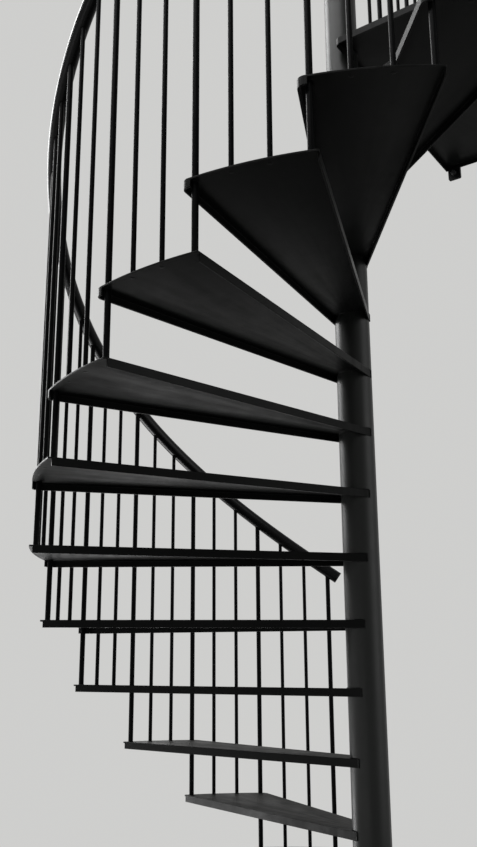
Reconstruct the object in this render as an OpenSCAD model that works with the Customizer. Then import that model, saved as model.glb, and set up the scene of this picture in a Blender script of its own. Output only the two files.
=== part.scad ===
// Steel spiral staircase: folded plate treads welded to one round column,
// a helical tube handrail on round bar balusters, and a square top landing
// with its own guard. Going up, the flight turns counter-clockwise.
// The column stands on the Z axis, and the floor is at z = 0.
// The landing's front edge runs along X, and the upper floor lies past its +Y edge.

/* [Overall] */
// Height from the floor to the top of the landing
total_rise = 3070; // [2400:10:3700]
// Number of risers, the last one up to the landing
risers = 15; // [15]
// Angle from one tread to the next
step_angle = 16.75; // [14:0.05:20]
// Outer radius of the treads and of the landing's side
stair_r = 1050; // [850:10:1300]

/* [Column] */
// Outer diameter of the column tube
column_d = 114.3; // [90:0.1:150]
// Wall of the column tube
column_wall = 5; // [3:0.5:8]
// Height of the column above the landing
column_above = 1130; // [900:10:1300]
// Diameter of the round base plate
base_d = 280; // [240:10:400]
// Thickness of the base plate
base_t = 12; // [8:1:20]
// Circle of the base plate's anchor holes
base_pcd = 220; // [190:5:340]
// Diameter of an anchor hole
base_hole_d = 18; // [12:1:22]

/* [Treads] */
// Thickness of the folded plate
plate_t = 5; // [3:0.5:8]
// Depth of a tread from its top to the lower edge of its flanges
tread_depth = 25; // [14:1:50]
// How far each tread reaches over the one below, along its outer edge
tread_overlap = 50; // [45:1:70]
// How far the flanges stand proud of the column's side
flange_proud = 1.5; // [0.5:0.1:4]
// Distance from the front of a tread back to its long bar, along the outer edge
long_bar_setback = 29; // [24:1:36]
// Corner radius at the front of a tread
nosing_corner_r = 20; // [15:1:40]
// Corner radius at the back of a tread
back_corner_r = 6; // [4:1:14]
// Distance from the outer edge of a tread in to the balusters
bar_inset = 21; // [16:1:30]

/* [Balusters and handrail] */
// Diameter of the long bars that tie two treads together
long_bar_d = 18; // [12:1:20]
// Diameter of the bars between them
bar_d = 14; // [8:1:16]
// Diameter of the handrail tube
rail_d = 48.3; // [33:0.1:60]
// Height of the handrail's axis above the tread noses
rail_h = 1083; // [850:1:1150]
// Height of the landing rail's axis above the landing
landing_rail_h = 1076; // [900:1:1150]
// How far the handrail runs on past its lowest bar
rail_tail = 42; // [10:1:80]
// Clearance round a bar in its hole and between welded parts
fit_gap = 0.3; // [0.1:0.05:0.5]

/* [Landing] */
// Distance from the column's axis forward to the landing's front edge
landing_front = 105; // [80:1:160]
// Distance from the column's axis back to the landing's far edge
landing_back = 946; // [700:1:1300]
// Distance from the column's axis to the landing's side over the void
landing_side = 25; // [10:1:45]
// Width of the fixing lugs under the far edge
lug_w = 53; // [40:1:80]
// Thickness of a lug
lug_t = 12; // [8:1:16]
// How far the lugs reach below the landing's top
lug_drop = 77; // [65:1:180]
// Distance from the landing's side in to a lug
lug_inset = 11; // [5:1:120]
// Diameter of the bolt hole through a lug
lug_hole_d = 13; // [9:1:18]

/* [Hidden] */

steel = "#26272a";
treads = risers - 1;
riser = total_rise / risers;
column_r = column_d / 2;
column_top = total_rise + column_above;
rail_r = rail_d / 2;
bar_circle_r = stair_r - bar_inset;

// Treads: the outer faces of both flanges pass the column's axis at edge_off,
// so a flange runs on to the point where it touches the column's side.
edge_off = column_r + flange_proud;
overlap_angle = tread_overlap / stair_r * 180 / PI;
// Angle from a tread's nosing line out to the corner that it makes with the outer edge
corner_angle = asin(edge_off / stair_r);
// Angle between the two straight edges of a tread
tread_angle = step_angle + overlap_angle - 2 * corner_angle;
// Angle of a long bar, measured from the nosing line of the tread that it passes through
long_bar_angle = long_bar_setback / stair_r * 180 / PI - corner_angle;

// Handrail: it rises by one riser for each step, and eases to level at the landing
rail_rise = riser / step_angle;
run_per_degree = bar_circle_r * PI / 180;
rail_tail_angle = rail_tail / run_per_degree;
// Length along the bar circle over which it eases, either side of the change
rail_ease = 160;
rail_cap_t = 3;
// Sides of the helical tube, and the angle from one of its rings to the next
rail_sides = 24;
rail_step = step_angle / 9;

// Segments of the large and the small circles
column_fn = 96;
small_fn = 48;
// Straight pieces that stand for a rounded corner and for a tread's outer edge
corner_steps = 10;
edge_steps = 24;

// Direction of a step's nosing line; the landing counts as the last step
function step_dir(i) = (i - risers) * step_angle;

// Height of the handrail's axis over the treads at angle a
function helix_z(a) = total_rise + rail_h + rail_rise * (a + corner_angle);

// Angle at which the handrail would reach the landing rail's height
level_angle = (landing_rail_h - rail_h) / rail_rise - corner_angle;
ease_angle = rail_ease / run_per_degree;

// The slope fades to nothing over ease_angle either side of level_angle
function rail_z(a) =
    a < level_angle - ease_angle ? helix_z(a) :
    a > level_angle + ease_angle ? total_rise + landing_rail_h :
    total_rise + landing_rail_h
        - rail_rise * pow(level_angle + ease_angle - a, 2) / (4 * ease_angle);

// Handrail axis: on the bar circle up to the landing's front corner, then straight along Y
function rail_point(a) =
    a < 0
        ? [bar_circle_r * cos(a), bar_circle_r * sin(a), rail_z(a)]
        : [bar_circle_r, run_per_degree * a, rail_z(a)];

// Rise of the handrail for each degree at angle a, and its slope
function rail_grade(a) =
    a < level_angle - ease_angle ? rail_rise :
    a > level_angle + ease_angle ? 0 :
    rail_rise * (level_angle + ease_angle - a) / (2 * ease_angle);
function rail_slope(a) = atan(rail_grade(a) / run_per_degree);

// Direction of the handrail in plan is square to its outward normal
function rail_outward(a) = a < 0 ? [cos(a), sin(a), 0] : [1, 0, 0];
function rail_tangent(a) =
    let (n = rail_outward(a), s = rail_slope(a))
    [-n[1] * cos(s), n[0] * cos(s), sin(s)];

// Ring of points round the handrail's axis at angle a
function rail_ring(a) =
    let (
        n = rail_outward(a),
        b = cross(rail_tangent(a), n),
        p = rail_point(a)
    )
    [for (k = [0 : rail_sides - 1])
        let (t = 360 * k / rail_sides)
        p + rail_r * (cos(t) * n + sin(t) * b)];

// Angles that split the handrail into its three welded lengths
rail_start = step_dir(1) + long_bar_angle - rail_tail_angle;
rail_end = max(level_angle + ease_angle, 0);
rail_third = (rail_end - rail_start) / 3;

module handrail_length(from, to) {
    rings = ceil((to - from) / rail_step);
    points = [for (j = [0 : rings]) each rail_ring(from + (to - from) * j / rings)];
    side_faces = [
        for (j = [0 : rings - 1], k = [0 : rail_sides - 1])
            let (
                a = j * rail_sides + k,
                b = j * rail_sides + (k + 1) % rail_sides
            )
            each [[a, a + rail_sides, b], [b, a + rail_sides, b + rail_sides]]
    ];
    first_face = [for (k = [0 : rail_sides - 1]) k];
    last_face = [for (k = [rail_sides - 1 : -1 : 0]) rings * rail_sides + k];
    polyhedron(points, concat(side_faces, [first_face, last_face]), convexity = 6);
}

function direction(a) = [cos(a), sin(a)];

// Points of an arc about c, from angle a0 to a1
function arc(c, r, a0, a1, steps) =
    [for (k = [0 : steps]) c + r * direction(a0 + (a1 - a0) * k / steps)];

// Centre of the rounded corner of radius r between the nosing line and the outer edge
function corner_centre(r) =
    let (y = r - edge_off)
    [sqrt(pow(stair_r - r, 2) - y * y), y];

function angle_of(p) = atan2(p[1], p[0]);

// Centres of a tread's two rounded corners, the back one as if it were a front one,
// and the angles at which the corners meet the outer edge
nose = corner_centre(nosing_corner_r);
heel = corner_centre(back_corner_r);
nose_angle = angle_of(nose);
heel_angle = tread_angle - angle_of(heel);
edge_step = (heel_angle - nose_angle) / edge_steps;

// Directions along a tread's back edge and out through its back flange
back = direction(tread_angle);
left = direction(tread_angle + 90);

// Plan of a tread whose nosing line runs along X
module tread_plan() {
    polygon(concat(
        [[0, -edge_off]],
        arc(nose, nosing_corner_r, -90, nose_angle, corner_steps),
        arc([0, 0], stair_r, nose_angle + edge_step, heel_angle - edge_step, edge_steps - 2),
        arc(norm(heel) * direction(heel_angle), back_corner_r,
            heel_angle, tread_angle + 90, corner_steps),
        [edge_off * left, [0, 0]]
    ));
}

// Plan of the space under a tread: between its two flanges and open at the outer edge,
// with the front flange carried round the corner and the back one ended short of its corner
module tread_pocket_plan() {
    front_end = direction(nose_angle + edge_step / 2);
    back_end = heel[0] - plate_t;
    inner = edge_off - plate_t;
    outside = 2 * edge_off;
    polygon(concat(
        [[0, -inner]],
        arc(nose, nosing_corner_r - plate_t, -90, nose_angle, corner_steps),
        [
            (stair_r - plate_t) * front_end,
            (stair_r + outside) * front_end,
            (stair_r + outside) * back + outside * left,
            back_end * back + outside * left,
            back_end * back + inner * left,
            -inner * back + inner * left,
            -inner * back
        ]
    ));
}

// Cylinder that clears the column from whatever is welded round it
module column_clearance(z0, z1) {
    translate([0, 0, z0])
        cylinder(r = column_r + fit_gap, h = z1 - z0, $fn = column_fn);
}

module bar_hole(angle, d, z) {
    rotate(angle)
        translate([bar_circle_r, 0, z])
            cylinder(d = d + 2 * fit_gap, h = 4 * plate_t, center = true, $fn = small_fn);
}

module tread(i) {
    top = i * riser;
    low = top - tread_depth;
    color(steel)
        rotate(step_dir(i))
            difference() {
                translate([0, 0, low])
                    linear_extrude(tread_depth) tread_plan();
                translate([0, 0, low - 1])
                    linear_extrude(tread_depth - plate_t + 1) tread_pocket_plan();
                column_clearance(low - 1, top + 1);
                bar_hole(long_bar_angle, long_bar_d, top);
            }
}

// Upright bar on the bar circle, coped at its top to fit under the sloping handrail
module rail_bar(angle, z0, d) {
    p = rail_point(angle);
    difference() {
        translate([p[0], p[1], z0])
            cylinder(d = d, h = p[2] - z0, $fn = small_fn);
        translate(p)
            rotate([0, 0, angle < 0 ? angle : 0])
                rotate([rail_slope(angle) - 90, 0, 0])
                    cylinder(r = rail_r + fit_gap, h = 4 * rail_r, center = true, $fn = small_fn);
    }
}

// The three bars of one step: the long one goes through this tread's front corner
// down to the tread below, and the other two stand on this tread
module step_balusters(i) {
    base = step_dir(i) + long_bar_angle;
    color(steel) {
        if (i > 1) rail_bar(base, (i - 1) * riser, long_bar_d);
        for (k = [1, 2])
            rail_bar(base + k * step_angle / 3, i * riser, bar_d);
    }
}

// The lowest long bar goes down to a small foot on the floor
post_foot_d = 3.5 * long_bar_d;
post_foot_t = 6;

module starting_post() {
    a = step_dir(1) + long_bar_angle;
    p = rail_point(a);
    color(steel) {
        rail_bar(a, post_foot_t - 1, long_bar_d);
        translate([p[0], p[1], 0])
            cylinder(d = post_foot_d, h = post_foot_t, $fn = small_fn);
    }
}

module base_plate() {
    color(steel)
        difference() {
            cylinder(d = base_d, h = base_t, $fn = column_fn);
            for (a = [45 : 90 : 315])
                rotate(a)
                    translate([base_pcd / 2, 0, -1])
                        cylinder(d = base_hole_d, h = base_t + 2, $fn = small_fn);
        }
}

module column() {
    color(steel)
        translate([0, 0, base_t])
            difference() {
                cylinder(r = column_r, h = column_top - base_t, $fn = column_fn);
                translate([0, 0, -1])
                    cylinder(
                        r = column_r - column_wall,
                        h = column_top - base_t + 2,
                        $fn = column_fn
                    );
            }
}

// Shallow domed cap
cap_t = 4;
cap_rise = 8;

module column_cap() {
    dome_r = (pow(column_r, 2) + pow(cap_rise, 2)) / (2 * cap_rise);
    dome_centre = [0, cap_t + cap_rise - dome_r];
    rim_angle = angle_of([column_r, dome_r - cap_rise]);
    color(steel)
        translate([0, 0, column_top])
            rotate_extrude($fn = column_fn)
                polygon(concat(
                    [[0, 0], [column_r, 0]],
                    arc(dome_centre, dome_r, rim_angle, 90, corner_steps)
                ));
}

// Plan of the landing with its edges moved in by inset and its front corners rounded
module landing_plan(inset) {
    r = nosing_corner_r - inset;
    x0 = landing_side + inset;
    x1 = stair_r - inset;
    y0 = inset - landing_front;
    y1 = landing_back - inset;
    polygon(concat(
        arc([x0 + r, y0 + r], r, 180, 270, corner_steps),
        arc([x1 - r, y0 + r], r, 270, 360, corner_steps),
        [[x1, y1], [x0, y1]]
    ));
}

// Square landing: a plate folded down along all its edges
module landing() {
    low = total_rise - tread_depth;
    color(steel)
        difference() {
            translate([0, 0, low])
                linear_extrude(tread_depth) landing_plan(0);
            translate([0, 0, low - 1])
                linear_extrude(tread_depth - plate_t + 1) landing_plan(plate_t);
            column_clearance(low - 1, total_rise + 1);
            bar_hole(long_bar_angle, long_bar_d, total_rise);
        }
}

// Fixing lug: a flat plate welded under the far flange and flush with its face,
// with a bolt hole towards the upper floor
lug_corner_r = 6;
lug_low = total_rise - lug_drop;
lug_h = lug_drop - tread_depth - fit_gap;
lug_hole_up = 28.5;

module landing_lug(x0) {
    r = lug_corner_r;
    color(steel)
        translate([x0, landing_back, lug_low])
            rotate([90, 0, 0])
                difference() {
                    linear_extrude(lug_t)
                        polygon(concat(
                            arc([r, r], r, 180, 270, corner_steps),
                            arc([lug_w - r, r], r, 270, 360, corner_steps),
                            [[lug_w, lug_h], [0, lug_h]]
                        ));
                    translate([lug_w / 2, lug_hole_up, -1])
                        cylinder(d = lug_hole_d, h = lug_t + 2, $fn = small_fn);
                }
}

module landing_lug_left() {
    landing_lug(landing_side + lug_inset);
}

module landing_lug_right() {
    landing_lug(stair_r - lug_inset - lug_w);
}

// Bars of the landing's guards, at the pitch of the bars over the treads
guard_first = bar_circle_r * sin(long_bar_angle);
guard_last = landing_back - bar_inset;
guard_spaces = round((guard_last - guard_first) / (bar_circle_r * PI / 180 * step_angle / 3));
guard_pitch = (guard_last - guard_first) / guard_spaces;

function guard_bar_d(k) = k % 3 == 0 || k == guard_spaces ? long_bar_d : bar_d;

// Bar that stands on the landing and is coped under a level rail
module guard_bar(x, y, d) {
    z = total_rise + landing_rail_h;
    difference() {
        translate([x, y, total_rise])
            cylinder(d = d, h = landing_rail_h, $fn = small_fn);
        translate([x, y, z])
            rotate([90, 0, 0])
                cylinder(r = rail_r + fit_gap, h = 4 * rail_r, center = true, $fn = small_fn);
    }
}

module balusters_landing_side() {
    color(steel) {
        rail_bar(long_bar_angle, treads * riser, long_bar_d);
        for (k = [1 : guard_spaces])
            let (y = guard_first + k * guard_pitch)
            if (y < rail_end * run_per_degree)
                rail_bar(y / run_per_degree, total_rise, guard_bar_d(k));
            else
                guard_bar(bar_circle_r, y, guard_bar_d(k));
    }
}

// Line of the guard over the void, as far in from the edge as the other bars are
void_rail_x = landing_side + bar_inset;

module balusters_landing_void() {
    clear_of_column = column_r + bar_inset;
    color(steel)
        for (k = [1 : guard_spaces])
            let (y = guard_first + k * guard_pitch)
            if (y > clear_of_column)
                guard_bar(void_rail_x, y, guard_bar_d(k));
}

// Level rail along Y from y0 to the landing's far edge
module level_rail(x, y0) {
    translate([x, y0, total_rise + landing_rail_h])
        rotate([-90, 0, 0])
            cylinder(r = rail_r, h = landing_back - rail_cap_t - y0, $fn = column_fn);
}

module handrail_landing_side() {
    color(steel)
        level_rail(bar_circle_r, rail_end * run_per_degree);
}

module handrail_landing_void() {
    color(steel)
        difference() {
            level_rail(void_rail_x, bar_inset);
            column_clearance(total_rise, column_top);
        }
}

// Discs that close the open ends of the rails
module handrail_end_caps() {
    color(steel) {
        translate(rail_point(rail_start))
            rotate([0, 0, rail_start])
                rotate([rail_slope(rail_start) + 90, 0, 0])
                    cylinder(r = rail_r, h = rail_cap_t, $fn = small_fn);
        for (x = [void_rail_x, bar_circle_r])
            translate([x, landing_back, total_rise + landing_rail_h])
                rotate([90, 0, 0])
                    cylinder(r = rail_r, h = rail_cap_t, $fn = small_fn);
    }
}

module handrail_lower() {
    color(steel) handrail_length(rail_start, rail_start + rail_third);
}

module handrail_middle() {
    color(steel) handrail_length(rail_start + rail_third, rail_start + 2 * rail_third);
}

module handrail_upper() {
    color(steel) handrail_length(rail_start + 2 * rail_third, rail_end);
}

base_plate();
column();
column_cap();
for (i = [1 : treads]) {
    number = str(i < 10 ? "0" : "", i);
    tread(i);
    step_balusters(i);
}
landing();
landing_lug_left();
landing_lug_right();
starting_post();
balusters_landing_side();
balusters_landing_void();
handrail_lower();
handrail_middle();
handrail_upper();
handrail_landing_side();
handrail_landing_void();
handrail_end_caps();
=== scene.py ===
import math

import bmesh
import bpy
from mathutils import Matrix, Vector
from mathutils.bvhtree import BVHTree


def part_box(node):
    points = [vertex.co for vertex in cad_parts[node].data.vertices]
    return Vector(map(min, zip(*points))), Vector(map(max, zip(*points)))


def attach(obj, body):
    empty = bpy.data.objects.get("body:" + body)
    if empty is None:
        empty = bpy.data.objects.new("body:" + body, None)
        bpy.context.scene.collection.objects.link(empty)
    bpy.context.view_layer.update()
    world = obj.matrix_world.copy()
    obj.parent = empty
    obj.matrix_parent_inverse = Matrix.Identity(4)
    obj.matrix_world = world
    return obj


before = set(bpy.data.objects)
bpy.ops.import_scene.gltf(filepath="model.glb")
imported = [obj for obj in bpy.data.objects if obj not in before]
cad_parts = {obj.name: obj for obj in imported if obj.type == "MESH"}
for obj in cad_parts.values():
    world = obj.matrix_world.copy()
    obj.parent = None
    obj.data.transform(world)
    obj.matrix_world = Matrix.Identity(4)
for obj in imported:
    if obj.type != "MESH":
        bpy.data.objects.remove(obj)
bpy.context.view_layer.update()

BODY = "root"
MM = 0.001
TURN = 2 * math.pi
UP = Vector((0, 0, 1))

# The photograph's camera, in metres and degrees, and its frame in pixels
CAMERA_PLACE = Vector((1.3186, -2.7250, 0.8079))
CAMERA_HEADING = 128.153
CAMERA_PITCH = 14.474
CAMERA_ROLL = 0.895
PHOTO_W, PHOTO_H = 477, 847
FOCAL_PX = 931.5
CENTRE_PX = (160.0, 448.5)
SENSOR_W = 36

# Sizes of the stair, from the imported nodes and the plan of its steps
STEPS = 14
STEP_ANGLE = math.radians(16.75)
TREAD_OVERLAP = 50 * MM
PLATE_T = 5 * MM
FLANGE_PROUD = 1.5 * MM
TREAD_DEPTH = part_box("landing")[1].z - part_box("landing")[0].z
LANDING_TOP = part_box("landing")[1].z
RISER = LANDING_TOP / (STEPS + 1)
COLUMN_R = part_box("column")[1].x
STAIR_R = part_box("landing")[1].x
BASE_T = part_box("column")[0].z
EDGE_OFF = COLUMN_R + FLANGE_PROUD
TREAD_ANGLE = STEP_ANGLE + TREAD_OVERLAP / STAIR_R - 2 * math.asin(EDGE_OFF / STAIR_R)
ANCHORS = 4
ANCHOR_CIRCLE_R = 110 * MM
POST_R = 9 * MM
POST_FOOT_T = 6 * MM
SLIM_BAR_R = 8 * MM
LUG_HOLE_UP = 28.5 * MM

# Weld beads: the radius of each kind, the length of the steps along its path, and the ripples
FLANGE_BEAD_R = 2.6 * MM
FLANGE_END_BEAD_R = 3.4 * MM
BASE_BEAD_R = 4.0 * MM
BAR_BEAD_R = 1.7 * MM
RAIL_BEAD_R = 1.6 * MM
FLANGE_BEAD_STEP = 1.1 * MM
BASE_BEAD_STEP = 1.3 * MM
BAR_BEAD_STEP = 1.4 * MM
RIPPLE_PITCH = 3.2 * MM
RIPPLE_SWELL = 0.14

# Turned shapes, as (radius, height) in millimetres
PLUG_WELD = ((0.0, 0.5), (3.5, 0.45), (5.6, 0.3), (6.8, 0.05), (7.0, -0.5))
ANCHOR_WASHER_T = 3
ANCHOR_WASHER = ((9, 0), (15, 0), (15, 2.5), (14.5, ANCHOR_WASHER_T), (9, ANCHOR_WASHER_T))
LUG_WASHER_T = 2.5
LUG_WASHER = ((6.5, 0), (12, 0), (12, 2.0), (11.6, LUG_WASHER_T), (6.5, LUG_WASHER_T))
LUG_HEAD_TOP = 10.2
LUG_HEAD = (
    (6, LUG_WASHER_T), (9.4, LUG_WASHER_T), (10.9, 3.3),
    (10.9, 9.0), (9.4, LUG_HEAD_TOP), (5, LUG_HEAD_TOP),
)
ANCHOR_NUT_FLATS, LUG_HEAD_FLATS = 24, 19

# One black paint in three tones, each set to how bright its part shows under this light: the
# column's lighter tone is painted light, and the darker tones of the plates and of the bars and
# rail are painted shade.
SHADED_PLATE_PAINT = (0.0024, 0.0026, 0.0025)
SHADED_BAR_PAINT = (0.0018, 0.0019, 0.0020)
LIT_COLUMN_PAINT = (0.0062, 0.0068, 0.0064)
THIN_PAINT = (0.045, 0.045, 0.045)
SCUFFED_PAINT = (0.060, 0.057, 0.052)
FLOOR_TONE = (0.365, 0.362, 0.355)
BACKDROP_TONE = (0.62, 0.62, 0.61)
WORLD_LIGHT = 0.16

# Each lamp's name, place and target in metres, width and height in metres, and power in watts.
# The window, the skylight and the two room lamps light the whole stair. The others are weak or
# small, and stand in for the bright ground that undersides and lower flanges reflect.
LAMPS = (
    ("window_left", (-5.6, 0.1, 5.4), (0, 0, 3.6), (3.2, 6.6), 700),
    ("skylight_front", (-1.0, -5.0, 8.6), (0, 0, 3.4), (9.0, 4.0), 950),
    ("door_behind", (-3.3, 3.2, 1.1), (0, 0, 1.6), (2.4, 2.2), 8),
    ("terrace_behind", (-4.5, 5.0, 0.03), (-4.5, 5.0, 1.0), (5.0, 3.0), 18),
    ("room_left", (-3.8, -3.2, 1.1), (0, 0, 1.0), (3.6, 1.8), 30),
    ("low_left", (-3.3, 0.0, 0.03), (-3.3, 0.0, 1.0), (2.6, 1.4), 190),
    ("low_back", (-1.9, 1.0, 0.85), (-0.75, -0.4, 1.2), (0.6, 0.4), 0.8),
    ("low_front", (-0.6, -4.6, 0.25), (-0.3, 0, 0.9), (4.5, 0.4), 26),
    ("room_right", (5.6, 1.2, 2.2), (0, 0, 1.8), (4.0, 5.0), 140),
)


def add_camera():
    heading = math.radians(CAMERA_HEADING)
    pitch = math.radians(CAMERA_PITCH)
    forward = Vector((
        math.cos(heading) * math.cos(pitch),
        math.sin(heading) * math.cos(pitch),
        math.sin(pitch),
    ))
    level = forward.to_track_quat("-Z", "Y")
    roll = Matrix.Rotation(math.radians(CAMERA_ROLL), 3, "Z").to_quaternion()
    data = bpy.data.cameras.new("photo_camera")
    data.sensor_width = SENSOR_W
    data.lens = SENSOR_W * FOCAL_PX / PHOTO_H
    data.shift_x = (PHOTO_W / 2 - CENTRE_PX[0]) / PHOTO_H
    data.shift_y = (CENTRE_PX[1] - PHOTO_H / 2) / PHOTO_H
    camera = bpy.data.objects.new("photo_camera", data)
    camera.location = CAMERA_PLACE
    camera.rotation_mode = "QUATERNION"
    camera.rotation_quaternion = level @ roll
    bpy.context.scene.collection.objects.link(camera)
    bpy.context.scene.camera = camera


class Tree:
    """The node tree of a material or the world, with short calls to add nodes and links."""

    def __init__(self, name):
        self.material = bpy.data.materials.new(name)
        self.material.use_nodes = True
        self.nodes = self.material.node_tree.nodes
        self.links = self.material.node_tree.links
        self.nodes.clear()

    @classmethod
    def of(cls, node_tree):
        tree = cls.__new__(cls)
        tree.nodes, tree.links = node_tree.nodes, node_tree.links
        return tree

    def fill(self, socket, value):
        """Links the value if it is another node's output, or else sets it."""
        if isinstance(value, bpy.types.NodeSocket):
            self.links.new(value, socket)
        else:
            socket.default_value = value

    def add(self, kind, settings=None, **inputs):
        node = self.nodes.new(kind)
        for key, value in (settings or {}).items():
            setattr(node, key, value)
        for key, value in inputs.items():
            self.fill(node.inputs[key.replace("_", " ")], value)
        return node

    def math(self, operation, a, b=0.0):
        node = self.nodes.new("ShaderNodeMath")
        node.operation = operation
        self.fill(node.inputs[0], a)
        self.fill(node.inputs[1], b)
        return node.outputs[0]

    def span(self, value, low, high, new_low, new_high):
        node = self.add(
            "ShaderNodeMapRange",
            Value=value, From_Min=low, From_Max=high, To_Min=new_low, To_Max=new_high,
        )
        return node.outputs["Result"]

    def noise(self, place, scale, detail=2.0, roughness=0.5):
        node = self.add(
            "ShaderNodeTexNoise", Vector=place, Scale=scale, Detail=detail, Roughness=roughness
        )
        return node.outputs["Fac"]

    def spread(self, noise, new_low, new_high):
        """Spreads noise, most of which lies between 0.3 and 0.7, over a new range."""
        return self.span(noise, 0.3, 0.7, new_low, new_high)

    def mix_colour(self, factor, a, b):
        node = self.nodes.new("ShaderNodeMix")
        node.data_type = "RGBA"
        factor_socket, a_socket, b_socket = node.inputs[0], node.inputs[6], node.inputs[7]
        self.fill(factor_socket, factor)
        self.fill(a_socket, a)
        self.fill(b_socket, b)
        return node.outputs[2]

    def mix_shaders(self, factor, a, b):
        node = self.nodes.new("ShaderNodeMixShader")
        for socket, source in zip(node.inputs, (factor, a, b)):
            self.links.new(source, socket)
        return node.outputs["Shader"]

    def end(self, shader):
        output = self.nodes.new("ShaderNodeOutputMaterial")
        self.links.new(shader, output.inputs["Surface"])
        return self.material


def rgba(colour, gain=1.0):
    return tuple(c * gain for c in colour) + (1.0,)


def brush_marks(tree, place):
    """Soft streaks that run out from the column's axis, along the treads."""
    marks_around, marks_out, marks_up = 13.0, 2.4, 6.0
    axes = tree.add("ShaderNodeSeparateXYZ", Vector=place).outputs
    x, y = axes["X"], axes["Y"]
    angle = tree.math("ARCTAN2", y, x)
    distance = tree.math(
        "SQRT", tree.math("ADD", tree.math("MULTIPLY", x, x), tree.math("MULTIPLY", y, y))
    )
    polar = tree.add(
        "ShaderNodeCombineXYZ",
        X=tree.math("MULTIPLY", angle, marks_around),
        Y=tree.math("MULTIPLY", distance, marks_out),
        Z=tree.math("MULTIPLY", axes["Z"], marks_up),
    )
    return tree.noise(polar.outputs["Vector"], scale=1.0, detail=4.0, roughness=0.6)


def folded_edge(tree, bevel_normal, true_normal):
    """One along folds, where the rounded normal leaves the face's own, and zero on the flat."""
    flat_cosine, fold_cosine = 0.99, 0.75
    agree = tree.add("ShaderNodeVectorMath", {"operation": "DOT_PRODUCT"})
    tree.links.new(true_normal, agree.inputs[0])
    tree.links.new(bevel_normal, agree.inputs[1])
    return tree.span(agree.outputs["Value"], flat_cosine, fold_cosine, 0.0, 1.0)


def satin_paint(name, colour, roughness, gloss, fold_radius, foot_wear=0.0, brushed=0.0):
    """Brushed-on satin paint: soft cloudy sheen, fine orange peel, and thinner paint along folds.
    foot_wear is how much scuffs lighten the faces that point up, and brushed how far brush marks
    change the roughness."""
    tree = Tree(name)
    place = tree.add("ShaderNodeTexCoord").outputs["Object"]
    clouds = tree.noise(place, scale=3.2, detail=3.0)
    smears = tree.noise(place, scale=23.0, detail=4.0, roughness=0.6)
    peel = tree.noise(place, scale=750.0)
    grain = tree.noise(place, scale=140.0, detail=3.0)

    true_normal = tree.add("ShaderNodeNewGeometry").outputs["Normal"]
    bevel = tree.add("ShaderNodeBevel", {"samples": 4}, Radius=fold_radius)
    bevel_normal = bevel.outputs["Normal"]
    patches = tree.span(smears, low=0.42, high=0.62, new_low=0.15, new_high=1.0)
    thin = tree.math("MULTIPLY", folded_edge(tree, bevel_normal, true_normal), patches)

    cloud_share, grain_share, thin_share = 0.6, 0.4, 0.5
    dark_gain, light_gain = 0.82, 1.2
    shade = tree.math(
        "ADD", tree.spread(clouds, 0.0, cloud_share), tree.spread(grain, 0.0, grain_share)
    )
    base = tree.mix_colour(shade, rgba(colour, dark_gain), rgba(colour, light_gain))
    base = tree.mix_colour(tree.math("MULTIPLY", thin, thin_share), base, rgba(THIN_PAINT))

    cloud_less, cloud_more, smear_change = 0.05, 0.04, 0.03
    sheen_spread = tree.math(
        "ADD",
        tree.spread(clouds, roughness - cloud_less, roughness + cloud_more),
        tree.spread(smears, -smear_change, smear_change),
    )
    if brushed:
        marks = brush_marks(tree, place)
        marks = tree.span(marks, low=0.35, high=0.65, new_low=brushed, new_high=-brushed)
        sheen_spread = tree.math("ADD", sheen_spread, marks)
    if foot_wear:
        top_rougher = 0.16
        up = tree.add("ShaderNodeSeparateXYZ", Vector=true_normal).outputs["Z"]
        top = tree.span(up, low=0.9, high=0.99, new_low=0.0, new_high=1.0)
        scuffs = tree.noise(place, scale=48.0, detail=6.0, roughness=0.7)
        scuffs = tree.span(scuffs, low=0.45, high=0.7, new_low=0.1, new_high=1.0)
        worn = tree.math("MULTIPLY", tree.math("MULTIPLY", top, scuffs), foot_wear)
        base = tree.mix_colour(worn, base, rgba(SCUFFED_PAINT))
        rougher = tree.math("MULTIPLY", top, top_rougher)
        sheen_spread = tree.math("ADD", sheen_spread, rougher)

    fine = tree.add(
        "ShaderNodeBump", Strength=0.10, Distance=0.4 * MM, Height=peel, Normal=bevel_normal
    )
    broad = tree.add(
        "ShaderNodeBump",
        Strength=0.06, Distance=2.0 * MM, Height=smears, Normal=fine.outputs["Normal"],
    )
    shader = tree.add(
        "ShaderNodeBsdfPrincipled",
        Base_Color=base, Roughness=sheen_spread, Normal=broad.outputs["Normal"],
        Specular_IOR_Level=gloss,
    )
    return tree.end(shader.outputs["BSDF"])


def background_ray(tree):
    """One for rays from the camera, mirrors and glass, which see the background's own tone."""
    path = tree.add("ShaderNodeLightPath")
    mirror = tree.math(
        "MAXIMUM", path.outputs["Is Glossy Ray"], path.outputs["Is Transmission Ray"]
    )
    return tree.math("MAXIMUM", path.outputs["Is Camera Ray"], mirror)


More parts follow.
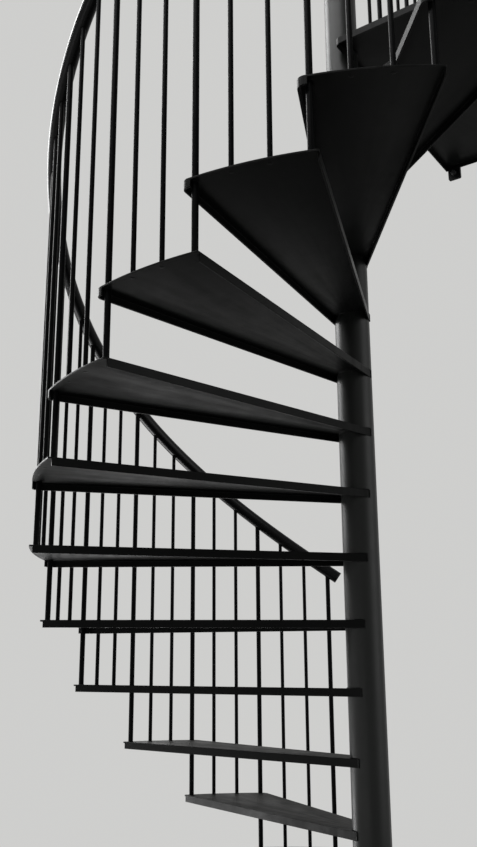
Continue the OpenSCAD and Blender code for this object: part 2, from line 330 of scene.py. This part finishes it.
def add_floor():
    """Pale floor that takes on the backdrop's tone away from the stair."""
    half_size, blend_from, blend_to, mottle = 60, 0.8, 2.4, 0.02
    bm = bmesh.new()
    bmesh.ops.create_grid(bm, x_segments=1, y_segments=1, size=half_size)
    mesh = bpy.data.meshes.new("floor")
    bm.to_mesh(mesh)
    bm.free()
    floor = bpy.data.objects.new("floor", mesh)
    bpy.context.scene.collection.objects.link(floor)
    tree = Tree("pale_floor")
    place = tree.add("ShaderNodeTexCoord").outputs["Object"]
    cloud = tree.noise(place, scale=1.3, detail=3.0)
    tone = tree.mix_colour(cloud, rgba(FLOOR_TONE, 1 - mottle), rgba(FLOOR_TONE, 1 + mottle))
    matt = tree.add("ShaderNodeBsdfPrincipled", Base_Color=tone, Roughness=0.8)
    backdrop = tree.add("ShaderNodeEmission", Color=rgba(BACKDROP_TONE), Strength=1.0)
    away = tree.add("ShaderNodeVectorMath", {"operation": "LENGTH"})
    tree.links.new(place, away.inputs[0])
    fade = tree.add(
        "ShaderNodeMapRange", {"interpolation_type": "SMOOTHSTEP"},
        Value=away.outputs["Value"], From_Min=blend_from, From_Max=blend_to,
    )
    factor = tree.math("MULTIPLY", fade.outputs["Result"], background_ray(tree))
    mixed = tree.mix_shaders(factor, matt.outputs["BSDF"], backdrop.outputs["Emission"])
    mesh.materials.append(tree.end(mixed))


def add_world():
    """Soft even light, with the backdrop's tone where it shows or is mirrored."""
    world = bpy.data.worlds.new("studio")
    world.use_nodes = True
    bpy.context.scene.world = world
    tree = Tree.of(world.node_tree)
    tree.nodes.clear()
    light = tree.add("ShaderNodeBackground", Color=(1, 1, 1, 1), Strength=WORLD_LIGHT)
    backdrop = tree.add("ShaderNodeBackground", Color=rgba(BACKDROP_TONE), Strength=1.0)
    mixed = tree.mix_shaders(
        background_ray(tree), light.outputs["Background"], backdrop.outputs["Background"]
    )
    output = tree.nodes.new("ShaderNodeOutputWorld")
    tree.links.new(mixed, output.inputs["Surface"])


def add_lamps():
    for name, place, target, size, power in LAMPS:
        data = bpy.data.lights.new(name, "AREA")
        data.shape = "RECTANGLE"
        data.size, data.size_y = size
        data.energy = power
        lamp = bpy.data.objects.new(name, data)
        lamp.location = place
        lamp.rotation_mode = "QUATERNION"
        lamp.rotation_quaternion = (Vector(target) - Vector(place)).to_track_quat("-Z", "Y")
        lamp.visible_camera = False
        bpy.context.scene.collection.objects.link(lamp)


def finish_piece(name, bm, material):
    """Turns the bmesh into a smooth-shaded piece that rides on the stair."""
    sharp_from = math.radians(40)
    bmesh.ops.recalc_face_normals(bm, faces=bm.faces)
    mesh = bpy.data.meshes.new(name)
    bm.to_mesh(mesh)
    bm.free()
    mesh.materials.append(material)
    for face in mesh.polygons:
        face.use_smooth = True
    mesh.set_sharp_from_angle(angle=sharp_from)
    piece = bpy.data.objects.new(name, mesh)
    bpy.context.scene.collection.objects.link(piece)
    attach(piece, BODY)


def islands(node):
    """Lowest and highest corner of each separate solid in a CAD node, in a fixed order."""
    bm = bmesh.new()
    bm.from_mesh(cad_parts[node].data)
    bmesh.ops.remove_doubles(bm, verts=bm.verts, dist=0.01 * MM)
    left, found = set(bm.verts), []
    while left:
        group, front = [], [left.pop()]
        while front:
            vert = front.pop()
            group.append(vert.co)
            near = {e.other_vert(vert) for e in vert.link_edges} & left
            left -= near
            front.extend(near)
        found.append((
            Vector(map(min, zip(*group))),
            Vector(map(max, zip(*group))),
        ))
    bm.free()
    return sorted(found, key=lambda corners: tuple(corners[0]))


def join_rings(bm, a, b):
    """Band of faces between two rings of as many points each."""
    count = len(a)
    for k in range(count):
        bm.faces.new((a[k], a[(k + 1) % count], b[(k + 1) % count], b[k]))


def add_bead(bm, path, radius, closed=False):
    """Weld bead: a round strip along the path that swells once for each ripple."""
    sides, steep_sine = 6, 0.2
    count = len(path)
    rings, run = [], 0.0
    for i, point in enumerate(path):
        before = path[i - 1] if closed or i else path[0]
        after = path[(i + 1) % count] if closed or i < count - 1 else path[-1]
        along = (after - before).normalized()
        side = along.cross(UP)
        if side.length < steep_sine:
            side = along.cross(Vector((1, 0, 0)))
        side.normalize()
        lift = side.cross(along)
        run += (point - before).length if i else 0.0
        r = radius * (1 + RIPPLE_SWELL * math.sin(TURN * run / RIPPLE_PITCH))
        rings.append([
            bm.verts.new(point + r * (math.cos(t) * side + math.sin(t) * lift))
            for t in (TURN * k / sides for k in range(sides))
        ])
    for i in range(count if closed else count - 1):
        join_rings(bm, rings[i], rings[(i + 1) % count])
    if not closed:
        bm.faces.new(rings[0])
        bm.faces.new(rings[-1])


def arc_points(centre, radius, start, end, z, spacing):
    """Points along an arc. A whole turn doesn't repeat its first point."""
    fewest, same = 8, 1e-6
    count = max(fewest, round(abs(end - start) * radius / spacing))
    whole = abs(abs(end - start) - TURN) < same
    return [
        Vector((
            centre[0] + radius * math.cos(start + (end - start) * k / count),
            centre[1] + radius * math.sin(start + (end - start) * k / count),
            z,
        ))
        for k in range(count if whole else count + 1)
    ]


def add_column_welds(material):
    """Beads round the column over and under each tread, up its flanges, and at the base plate."""
    bm = bmesh.new()
    axis = (0.0, 0.0)
    upright_steps = 16
    past_quarter = math.radians(2)
    end_angle = TURN / 4 + past_quarter
    inner_angle = math.asin((EDGE_OFF - PLATE_T) / COLUMN_R)

    def round_column(start, end, z):
        path = arc_points(axis, COLUMN_R, start, end, z, FLANGE_BEAD_STEP)
        add_bead(bm, path, FLANGE_BEAD_R)

    for i in range(1, STEPS + 1):
        nose = (i - STEPS - 1) * STEP_ANGLE
        heel = nose + TREAD_ANGLE
        top = i * RISER
        round_column(nose - TURN / 4, heel + TURN / 4, top)
        round_column(nose - inner_angle, heel + inner_angle, top - PLATE_T)
        for side, height, radius in (
            (nose - inner_angle, TREAD_DEPTH - PLATE_T, FLANGE_BEAD_R),
            (heel + inner_angle, TREAD_DEPTH - PLATE_T, FLANGE_BEAD_R),
            (nose - end_angle, TREAD_DEPTH, FLANGE_END_BEAD_R),
            (heel + end_angle, TREAD_DEPTH, FLANGE_END_BEAD_R),
        ):
            foot = Vector((
                COLUMN_R * math.cos(side), COLUMN_R * math.sin(side), top - TREAD_DEPTH
            ))
            rise = Vector((0, 0, height / upright_steps))
            add_bead(bm, [foot + k * rise for k in range(upright_steps + 1)], radius)
    path = arc_points(axis, COLUMN_R, 0, TURN, BASE_T, BASE_BEAD_STEP)
    add_bead(bm, path, BASE_BEAD_R, closed=True)
    finish_piece("column_welds", bm, material)


def handrail_tree():
    """The rails' surfaces, to find where each bar meets them."""
    bm = bmesh.new()
    for length in ("lower", "middle", "upper", "landing_side", "landing_void"):
        bm.from_mesh(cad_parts["handrail_" + length].data)
    tree = BVHTree.FromBMesh(bm)
    bm.free()
    return tree


def add_bar_welds(material):
    """Beads where each bar stands on a plate, goes through one and meets the handrail."""
    ring_points, look_from, look_ahead = 36, 120 * MM, 300 * MM
    riser_margin = 0.01
    feet, saddles = bmesh.new(), bmesh.new()
    rails = handrail_tree()
    nodes = ["balusters_%02d" % i for i in range(1, STEPS + 1)]
    nodes += ["starting_post", "balusters_landing_side", "balusters_landing_void"]
    for node in nodes:
        is_post = node == "starting_post"
        for low, high in islands(node):
            centre = (low + high) / 2
            radius = POST_R if is_post else (high.x - low.x) / 2
            foot_z = low.z + (POST_FOOT_T if is_post else 0)
            through = (math.floor(foot_z / RISER + riser_margin) + 1) * RISER
            heights = [foot_z]
            if radius > SLIM_BAR_R and through < LANDING_TOP + MM:
                heights += [through, through - PLATE_T]
            for z in heights:
                path = arc_points(centre, radius, 0, TURN, z, BAR_BEAD_STEP)
                add_bead(feet, path, BAR_BEAD_R, closed=True)
            ring = []
            for k in range(ring_points):
                t = TURN * k / ring_points
                start = Vector((
                    centre.x + radius * math.cos(t),
                    centre.y + radius * math.sin(t),
                    high.z - look_from,
                ))
                hit = rails.ray_cast(start, UP, look_ahead)[0]
                if hit is not None:
                    ring.append(hit)
            if len(ring) == ring_points:
                add_bead(saddles, ring, RAIL_BEAD_R, closed=True)
    finish_piece("bar_foot_welds", feet, material)
    finish_piece("bar_rail_welds", saddles, material)


def add_plug_welds(material):
    """Low round bosses under each tread, where the bars that stand on it are plug-welded."""
    bm = bmesh.new()
    around = 24
    (_, tip_drop), *profile = PLUG_WELD
    for i in range(1, STEPS + 1):
        for low, high in islands("balusters_%02d" % i):
            if (high.x - low.x) / 2 > SLIM_BAR_R:
                continue
            centre = (low + high) / 2
            under = low.z - PLATE_T
            tip = bm.verts.new((centre.x, centre.y, under - tip_drop * MM))
            rings = [
                [
                    bm.verts.new((
                        centre.x + r * MM * math.cos(TURN * k / around),
                        centre.y + r * MM * math.sin(TURN * k / around),
                        under - drop * MM,
                    ))
                    for k in range(around)
                ]
                for r, drop in profile
            ]
            for k in range(around):
                bm.faces.new((tip, rings[0][k], rings[0][(k + 1) % around]))
            for a, b in zip(rings, rings[1:]):
                for k in range(around):
                    bm.faces.new((a[k], b[k], b[(k + 1) % around], a[(k + 1) % around]))
    finish_piece("plug_welds", bm, material)


def revolve(bm, profile, place, around=32, hex_flats=None):
    """Turns (radius, height) pairs in millimetres round the place's Z axis. hex_flats is a lowest
    and highest height, between which the shape is cut to a hexagon, and the hexagon's width."""
    rings = []
    for r, h in profile:
        ring = []
        for k in range(around):
            t = TURN * k / around
            reach = r
            if hex_flats and hex_flats[0] <= h <= hex_flats[1]:
                off = (t % (TURN / 6)) - TURN / 12
                reach = min(r, hex_flats[2] / 2 / math.cos(off))
            point = Vector((reach * MM * math.cos(t), reach * MM * math.sin(t), h * MM))
            ring.append(bm.verts.new(place @ point))
        rings.append(ring)
    for a, b in zip(rings, rings[1:]):
        join_rings(bm, a, b)
    bm.faces.new(rings[0])
    bm.faces.new(rings[-1])


def add_anchor_bolts(material):
    """Washers, nuts and stud ends on the base plate."""
    bm = bmesh.new()
    nut_h, chamfer, nut_around, twist = 13, 1.2, 48, 0.4
    low, high = ANCHOR_WASHER_T, ANCHOR_WASHER_T + nut_h
    nut = (
        (9, low), (12.2, low), (13.8, low + chamfer),
        (13.8, high - chamfer), (12.2, high), (8, high),
    )
    threads, crest, root, tip = 9, 8.0, 7.3, 6.6
    stud = [(crest if j % 2 else root, high + j) for j in range(threads)] + [(tip, high + threads)]
    for k in range(ANCHORS):
        t = TURN * (k + 0.5) / ANCHORS
        centre = (ANCHOR_CIRCLE_R * math.cos(t), ANCHOR_CIRCLE_R * math.sin(t), BASE_T)
        place = Matrix.Translation(centre) @ Matrix.Rotation(twist * k, 4, "Z")
        revolve(bm, ANCHOR_WASHER, place)
        revolve(bm, nut, place, nut_around, (low, high, ANCHOR_NUT_FLATS))
        revolve(bm, stud, place)
    finish_piece("anchor_bolts", bm, material)


def add_lug_bolts(material):
    """Washers and bolt heads on the front of the landing's lugs."""
    bm = bmesh.new()
    head_around = 48
    for node in ("landing_lug_left", "landing_lug_right"):
        low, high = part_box(node)
        centre = Vector(((low.x + high.x) / 2, low.y, low.z + LUG_HOLE_UP))
        place = Matrix.Translation(centre) @ Matrix.Rotation(math.radians(90), 4, "X")
        revolve(bm, LUG_WASHER, place)
        revolve(bm, LUG_HEAD, place, head_around, (LUG_WASHER_T, LUG_HEAD_TOP, LUG_HEAD_FLATS))
    finish_piece("lug_bolts", bm, material)


def paint_nodes(paints):
    for name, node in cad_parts.items():
        if name.startswith(("tread", "landing")):
            paint = paints["plate"]
        elif name.startswith(("balusters", "starting")):
            paint = paints["bar"]
        elif name.startswith("handrail"):
            paint = paints["rail"]
        else:
            paint = paints["column"]
        for slot in node.material_slots:
            slot.material = paint


def main():
    bpy.context.scene.view_settings.view_transform = "Standard"
    add_camera()
    add_world()
    add_floor()
    add_lamps()
    # The column's paint is lighter to paint in light, and the plates', bars' and rail's paints are
    # darker to paint in shade: all four are one black paint.
    paints = {
        "plate": satin_paint(
            "shaded_plate_paint", SHADED_PLATE_PAINT, roughness=0.41, gloss=0.04, fold_radius=2.5 * MM,
            foot_wear=0.16, brushed=0.07,
        ),
        "bar": satin_paint(
            "shaded_bar_paint", SHADED_BAR_PAINT, roughness=0.30, gloss=0.02, fold_radius=0.5 * MM
        ),
        "rail": satin_paint(
            "shaded_rail_paint", SHADED_BAR_PAINT, roughness=0.27, gloss=0.09, fold_radius=6.0 * MM
        ),
        "column": satin_paint(
            "lit_column_paint", LIT_COLUMN_PAINT, roughness=0.42, gloss=0.16, fold_radius=1.0 * MM
        ),
    }
    paint_nodes(paints)
    add_column_welds(paints["plate"])
    add_bar_welds(paints["bar"])
    add_plug_welds(paints["plate"])
    add_anchor_bolts(paints["column"])
    add_lug_bolts(paints["column"])


main()
